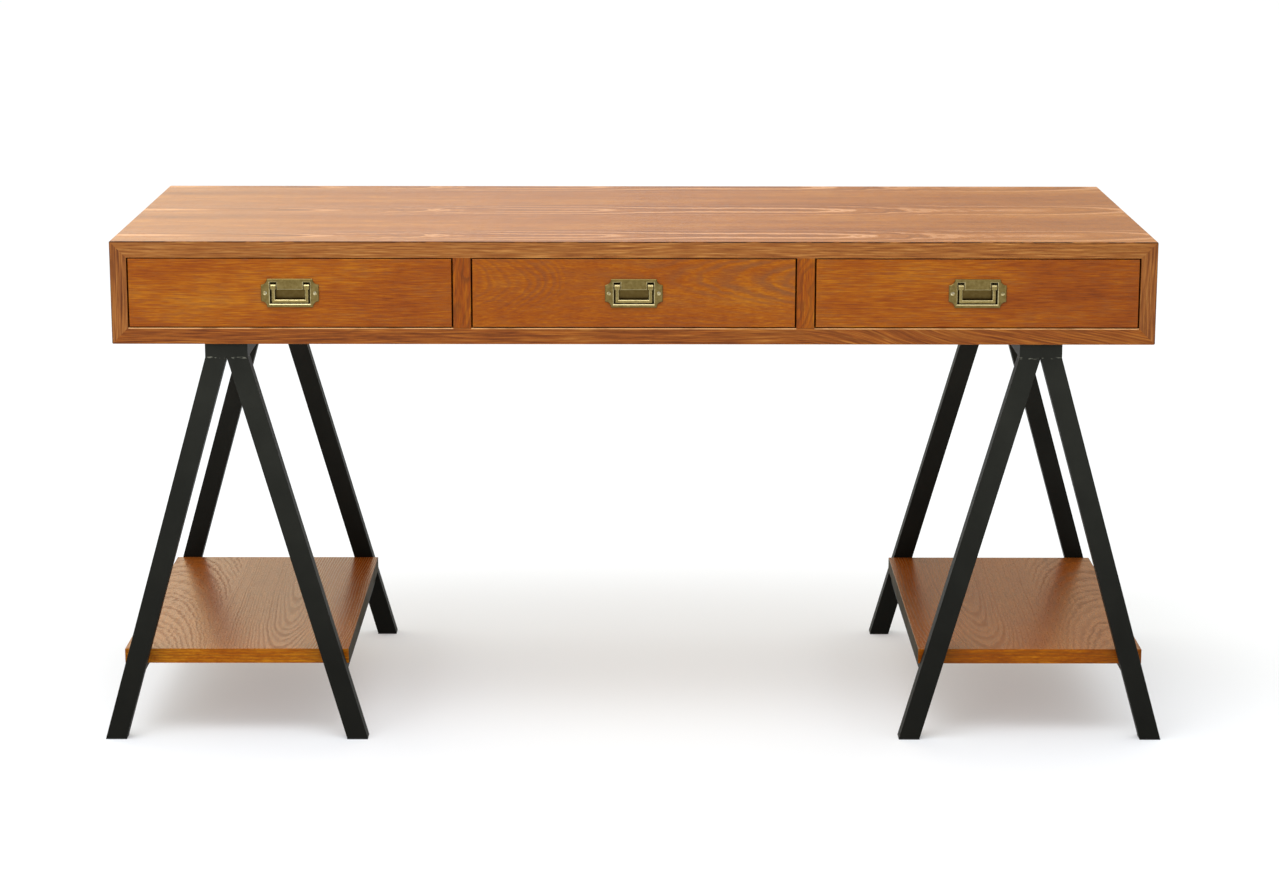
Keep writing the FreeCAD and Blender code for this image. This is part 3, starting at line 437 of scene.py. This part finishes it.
def middle_face(k, x, y, z):
    # the end of one arch on the left, soft and broken, and wide pointed lobes on the right
    mix = k.step(x, -0.10, 0.06, 0.36, 0.85) * k.step(k.grain(x, z, 16.0, 40.0, 7.7, 2.0), -0.2, 0.12, 0.45, 1.0)
    return x, z, dict(seed=57.0, tones=FRONT, early_tone=lin(134, 84, 46), early_mix=mix, lift=0.09, axis=0.7005, centre=-0.03, calm=0.065, pith=0.09,
                      left=-0.29, right=-0.078, churn=0.038, ring=0.0038, sway=0.016, wander=0.028, fade=(0.022, 0.05, 0.35), ripple=0.0026,
                      ripple_at=(70.0, 70.0), veil=0.3, veil_tone=GREY, band=(0.0, 0.35, 0.4, 0.95), fibre=0.5, streak=0.3, cloud=0.35, mottle=0.10,
                      glows=[(0.17, 0.70, 0.14, 0.05, 0.06), (-0.05, 0.65, 0.2, 0.04, -0.04)])


materials["middle_drawer_front"] = wood("veneer_middle_front", middle_face, None, on_y)
materials["right_drawer_front"] = wood("veneer_right_front",
                                       flat(63.0, "x", "z", axis=0.82, ring=0.0028, early_mix=0.2, fibre=0.7, streak=0.30, cloud=0.5, mottle=0.08, veil=0.4, fine_at=(26.0, 520.0),
                                            glows=[(0.39, 0.695, 0.22, 0.06, 0.06), (0.74, 0.68, 0.24, 0.12, -0.08)]), None, on_y)
for name, sign in (("left", -1), ("right", 1)):
    materials[name + "_trestle_shelf"] = wood("veneer_%s_shelf" % name, shelf_face(71.0 + sign, sign),
                                              flat(77.0 + sign, "x", "z", tones=FRONT, early_tone=BROWN, axis=0.2, veil=0.1, streak=0.6, bias=0.535 - sign * 0.075), on_y, 0.28, edges=shaded_ends, gloss=0.26, dull=0.5, sheen=(0.45, 0.60, -0.06), relief=0.22, tint=(1.0, 0.8, 0.3))


def plain_wood(name, seed, u_axis, w_axis):
    k = Net(name)
    x, y, z = k.split(k.coord("Object"))
    c = {"x": x, "y": y, "z": z}
    pale = [(0.15, lin(166, 122, 78)), (0.42, lin(194, 153, 105)), (0.6, lin(206, 168, 120)), (0.85, lin(222, 190, 146))]
    color, rough, height = veneer(k, c[u_axis], c[w_axis], seed, pale, lin(164, 120, 78), 0.4, ring=0.004, veil=0.3)
    return k.shine(color, rough + 0.55, height, 0.0003, 0.4, Specular_IOR_Level=0.25)


for d, at in (("left", 0), ("middle", 1), ("right", 2)):
    for p, axes in (("left_side", "yz"), ("right_side", "yz"), ("back", "xz"), ("bottom", "xy"),
                    ("left_runner", "yz"), ("right_runner", "yz")):
        materials["%s_drawer_%s" % (d, p)] = plain_wood("wood_%s_%s" % (d, p), 101.0 + 7 * at + len(p), axes[0], axes[1])


# ---------------------------------------------------------------- metals and plastic
def black_paint():
    k = Net("black_powder_coat")
    p = k.coord("Object")
    x, y, z = k.split(p)
    peel = k.noise(p, 900.0, 2.0, 0.5)
    cloud = k.noise(p, 14.0, 3.0, 0.6)
    dust = k.noise(p, 2400.0, 1.0, 0.5)
    # painted shade: the coat is painted darker towards the feet and lighter towards the top, standing in for light that
    # falls off lower down
    low = k.ramp(cloud, [(0.3, (0.0062, 0.0062, 0.0046)), (0.7, (0.0094, 0.0093, 0.0070))])
    upper = k.ramp(cloud, [(0.3, (0.0155, 0.0160, 0.0126)), (0.7, (0.0229, 0.0235, 0.0188))])
    color = k.mix(k.step(z, 0.0, 0.56), low, upper)
    # the ground-off weld where a leg meets the rail above it, with its paint broken
    weld = k.step(k.math("ABSOLUTE", z - 0.5838 + k.grain(x, y, 90.0, 90.0, 5.0, 1.0) * 0.003), 0.0004, 0.0019, 1.0, 0.0)
    chip = k.step(k.noise(k.join(x * 150.0, y * 150.0, z * 420.0), 1.0, 2.0, 0.6), 0.50, 0.60)
    color = k.mix(weld * chip * 0.55, color, lin(140, 140, 126))
    rough = peel * 0.14 + cloud * 0.10 + 0.44
    return k.shine(color, rough, peel + dust * 0.3 + weld * chip * 3.0, 0.00015, 0.35, Specular_IOR_Level=0.09)


def brass(name, tones, rubbed_highlight_tone, dark, rough=0.34, inside=None):
    """Aged brass: rubbed pale on its arrises, which is wear and also a painted highlight, darker in its corners as
    patina and painted shade, and painted shade past the depth inside.
    """
    k = Net(name)
    p = k.coord("Object")
    x, y, z = k.split(p)
    cloud = k.noise(p, 160.0, 3.0, 0.6)
    brush = k.noise(k.join(x * 300.0, y * 3000.0, z * 3000.0), 1.0, 2.0, 0.6)
    spot = k.noise(p, 900.0, 2.0, 0.6)
    t = cloud * 0.7 + brush * 0.25 + spot * 0.1
    color = k.ramp(t, tones)
    # dark patina in the hollows, which also serves as painted shade in the corners
    shade = k.new("ShaderNodeAmbientOcclusion", samples=6, only_local=True)
    shade.inputs["Distance"].default_value = 0.007
    hollow_patina_and_shade = k.step(Wire(k, shade.outputs["AO"]), 0.35, 0.95, 0.85, 0.0)
    if inside is not None:
        # painted shade: the pan floor past the depth inside is darker, for the shade in the recess
        recess_shade = k.step(y, inside, inside + 0.0012)
        hollow_patina_and_shade = k.math("MAXIMUM", hollow_patina_and_shade, recess_shade * k.step(cloud, 0.3, 0.7, 0.9, 0.7))
    color = k.mix(hollow_patina_and_shade, color, dark)
    if inside is not None:
        # painted shadow in the pan beside the arms and under the lip
        own = k.math("ABSOLUTE", x - k.math("ROUND", x / 0.500667) * 0.500667)
        pan_shadow = k.math("MAXIMUM", k.step(own, 0.0205, 0.0240), k.step(z, 0.6835, 0.6865))
        color = k.mix(recess_shade * pan_shadow * 0.8, color, tuple(c * 0.22 for c in dark))
    nx, ny, nz = (k.math("ABSOLUTE", c) for c in k.split(k.coord("Normal")))
    arris = k.step(k.math("MAXIMUM", nx, k.math("MAXIMUM", ny, nz)), 0.80, 0.97, 1.0, 0.0)
    # rubbed pale arrises: wear, and also a painted highlight line, made less metallic so it shows lit
    rub = arris * k.step(spot, 0.34, 0.56, 0.7, 1.0)
    if inside is not None:
        # the plate's outer arris is painted a darker tone, partly patina and partly painted shade on that rim, and only
        # the window's edge is rubbed
        rim = k.math("MAXIMUM", k.step(own, 0.0318, 0.0326), k.step(k.math("ABSOLUTE", z - 0.6803), 0.0180, 0.0186))
        color = k.mix(arris * rim, color, lin(112, 96, 54))
        rub = rub * (1.0 - rim)
    color = k.mix(rub, color, rubbed_highlight_tone)
    r = brush * 0.12 + cloud * 0.14 - rub * 0.06 + (rough - 0.12)
    return k.shine(color, r, brush + spot * 0.6, 0.00008, 0.25, Metallic=1.0 - rub * 0.55)


def steel(name):
    k = Net(name)
    p = k.coord("Object")
    cloud = k.noise(p, 300.0, 3.0, 0.6)
    color = k.ramp(cloud, [(0.3, lin(150, 148, 140)), (0.7, lin(196, 195, 188))])
    return k.shine(color, cloud * 0.2 + 0.25, cloud, 0.0001, 0.2, Metallic=1.0)


def plastic(name):
    k = Net(name)
    p = k.coord("Object")
    tex = k.noise(p, 1500.0, 2.0, 0.5)
    cloud = k.noise(p, 60.0, 2.0, 0.5)
    color = k.ramp(cloud, [(0.3, (0.010, 0.010, 0.010)), (0.7, (0.018, 0.018, 0.018))])
    return k.shine(color, tex * 0.2 + 0.45, tex, 0.0001, 0.3)


PAINT = black_paint()
ANTIQUE = brass("antique_brass", [(0.3, lin(104, 87, 46)), (0.55, lin(131, 113, 66)), (0.8, lin(154, 137, 90))],
                lin(198, 184, 136), lin(92, 74, 38), inside=-0.3046)
DULL = brass("dull_brass", [(0.3, lin(70, 56, 28)), (0.55, lin(88, 72, 38)), (0.8, lin(112, 96, 56))], lin(110, 94, 54), lin(40, 30, 14), 0.42)
BAIL = brass("rubbed_brass", [(0.3, lin(122, 104, 58)), (0.55, lin(150, 132, 80)), (0.8, lin(178, 162, 110))],
             lin(188, 172, 120), lin(84, 68, 34), 0.32)
# screw heads: painted glints, near-white patches in the brass tones
SCREW_GLINT_BRASS = brass("screw_brass_painted_glints", [(0.38, lin(132, 114, 66)), (0.52, lin(196, 180, 130)), (0.66, lin(250, 246, 228))],
               lin(252, 248, 232), lin(84, 68, 36), 0.30)
PLATED = steel("zinc_steel")
PLASTIC = plastic("black_plastic")
by_slot = {"black_steel": PAINT, "antique_brass": ANTIQUE, "bright_brass": SCREW_GLINT_BRASS, "plated_steel": PLATED, "foot_plastic": PLASTIC}


# ---------------------------------------------------------------- pieces
def softened(node, width, segments=2, angle=30.0, keep=None):
    """The node's own shape, welded and with its sharp arrises eased, in place of the node."""
    me = nodes[node].data.copy()
    bm = bmesh.new()
    bm.from_mesh(me)
    bmesh.ops.remove_doubles(bm, verts=bm.verts, dist=2e-6)
    bmesh.ops.dissolve_limit(bm, angle_limit=math.radians(0.4), verts=bm.verts, edges=bm.edges)
    sharp = [e for e in bm.edges if len(e.link_faces) == 2 and e.calc_face_angle(0.0) > math.radians(angle)
             and not (keep and keep(e))]
    bmesh.ops.bevel(bm, geom=sharp, offset=width, offset_type="OFFSET", segments=segments, profile=0.5,
                    affect="EDGES", clamp_overlap=True, harden_normals=False)
    bmesh.ops.recalc_face_normals(bm, faces=bm.faces)
    for f in bm.faces:
        f.smooth = True
    for e in bm.edges:
        e.smooth = len(e.link_faces) != 2 or e.calc_face_angle(0.0) < math.radians(50)
    out = bpy.data.meshes.new(node + "_shape")
    bm.to_mesh(out)
    bm.free()
    bpy.data.meshes.remove(me)
    o = bpy.data.objects.new(node + ".soft", out)
    scene.collection.objects.link(o)
    m = o.modifiers.new("even_shading", "WEIGHTED_NORMAL")
    m.keep_sharp = True
    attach(o, body_of_node[node])
    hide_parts(node)
    return o


def at_weld(e):
    return all(abs(v.co.z - 0.5845) < 0.0002 for v in e.verts)


shown = {}
for n in nodes:
    if n.endswith("_leg") or n.endswith("_rail"):
        shown[n] = softened(n, 0.0014, 3, keep=at_weld)
    elif n.endswith("_bail"):
        shown[n] = softened(n, 0.0005, 2)
    elif n.endswith(("_drawer_front", "_panel", "_divider", "_shelf")):
        shown[n] = softened(n, 0.0007, 2)
    elif slot_of_node[n] == "drawer_wood":
        shown[n] = softened(n, 0.0008, 2)
    else:
        shown[n] = nodes[n]

for n, o in shown.items():
    mat = materials.get(n) or (BAIL if n.endswith("_bail") else DULL if n.endswith("_pin") else by_slot[slot_of_node[n]])
    o.data.materials.clear()
    o.data.materials.append(mat)


# ---------------------------------------------------------------- stage and light
def make_stage():
    me = bpy.data.meshes.new("floor")
    s = 60.0
    me.from_pydata([(-s, -s, 0), (s, -s, 0), (s, s, 0), (-s, s, 0)], [], [(0, 1, 2, 3)])
    floor = bpy.data.objects.new("floor", me)
    scene.collection.objects.link(floor)
    k = Net("pale_floor")
    k.shine((0.556, 0.580, 0.612), 0.9, Specular_IOR_Level=0.0, Emission_Color=(1.0, 1.0, 1.0), Emission_Strength=0.322)
    me.materials.append(k.mat)


def make_world():
    """A pale room: bright overhead, a backdrop that is brighter to the left, dim towards the viewer."""
    world = bpy.data.worlds.new("studio")
    scene.world = world
    world.use_nodes = True
    k = Net.__new__(Net)
    k.tree, k._coord, k.mat = world.node_tree, None, None
    k.tree.nodes.clear()
    out = k.new("ShaderNodeOutputWorld")
    x, y, z = k.split(k.coord("Generated"))
    high = k.step(z, 0.3, 0.8)
    back = k.step(y, -0.4, 0.5)
    side = k.step(x / k.math("MAXIMUM", k.math("ABSOLUTE", y), 0.2), -0.16, 0.16, 0.985, 0.42)
    rise = k.step(z, 0.08, 0.3, 0.61, 2.20)
    gap = k.step(k.math("ABSOLUTE", x / k.math("MAXIMUM", k.math("ABSOLUTE", y), 0.2)), 0.096, 0.130, 0.22, 1.08)
    bright = k.step(k.math("ABSOLUTE", x), 0.03, 0.13, 1.58, 1.02)
    gap = k.blend(k.step(z, 0.185, 0.228), bright, gap)
    low = k.blend(back, 0.14, side * rise * gap * 1.10)
    level = k.blend(high, low, 1.40)
    bg = k.new("ShaderNodeBackground")
    warm = k.mix(k.step(z, 0.17, 0.25), (0.955, 1.05, 1.08), (1.08, 0.95, 0.60))
    k.put(bg.inputs["Color"], k.mix(back * (1.0 - high), (1.0, 1.0, 1.0), warm))
    k.put(bg.inputs["Strength"], level)
    k.tree.links.new(bg.outputs[0], out.inputs[0])


def softbox(name, at, to, size, watts, color=(1.0, 1.0, 1.0)):
    data = bpy.data.lights.new(name, "AREA")
    data.shape, data.size, data.size_y = "RECTANGLE", size[0], size[1]
    data.energy, data.color = watts, color
    o = bpy.data.objects.new(name, data)
    scene.collection.objects.link(o)
    o.location = at
    o.rotation_mode = "QUATERNION"
    o.rotation_quaternion = (Vector(to) - Vector(at)).to_track_quat("-Z", "Y")
    o.visible_camera = False


make_stage()
make_world()
softbox("overhead", (-0.7, -1.5, 3.7), (-0.1, -0.1, 0.6), (3.0, 1.6), 66.0)
softbox("key", (-3.0, -4.8, 2.6), (0.0, 0.0, 0.6), (2.0, 1.6), 28.0)
scene.view_settings.view_transform = "Standard"
scene.view_settings.look = "None"
scene.view_settings.exposure = 0.0
scene.view_settings.gamma = 1.0
